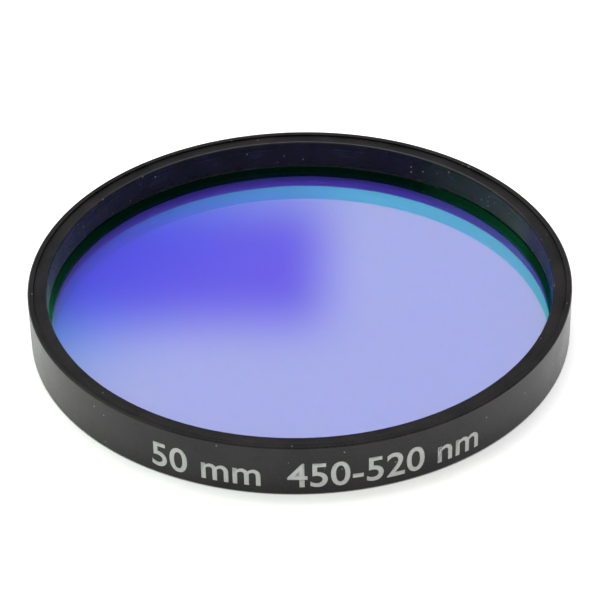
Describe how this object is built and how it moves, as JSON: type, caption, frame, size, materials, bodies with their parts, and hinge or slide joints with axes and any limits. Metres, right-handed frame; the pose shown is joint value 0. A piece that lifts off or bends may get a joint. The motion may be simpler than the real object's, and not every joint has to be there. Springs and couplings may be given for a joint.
{
  "type": "light pollution filter",
  "caption": "Round mounted astronomy filter: a coated glass disc held in a thin black turned cell by a plain retaining ring.",
  "frame": {"origin": "centre of the underside, on the optical axis, in the plane the filter rests on", "axes": "+Z along the optical axis, out of the side with the retaining ring; X and Y across the disc"},
  "size_m": [0.05, 0.05, 0.0051],
  "materials": {
    "black_anodised_cell": "satin black anodised, fine turned",
    "black_anodised_ring": "satin black anodised, fine turned",
    "coated_glass": "polished, interference coated, violet-blue in reflection and green in transmission"
  },
  "bodies": {
    "root": {"filter_cell": "black_anodised_cell", "retaining_ring": "black_anodised_ring", "filter_glass": "coated_glass"}
  },
  "joints": []
}
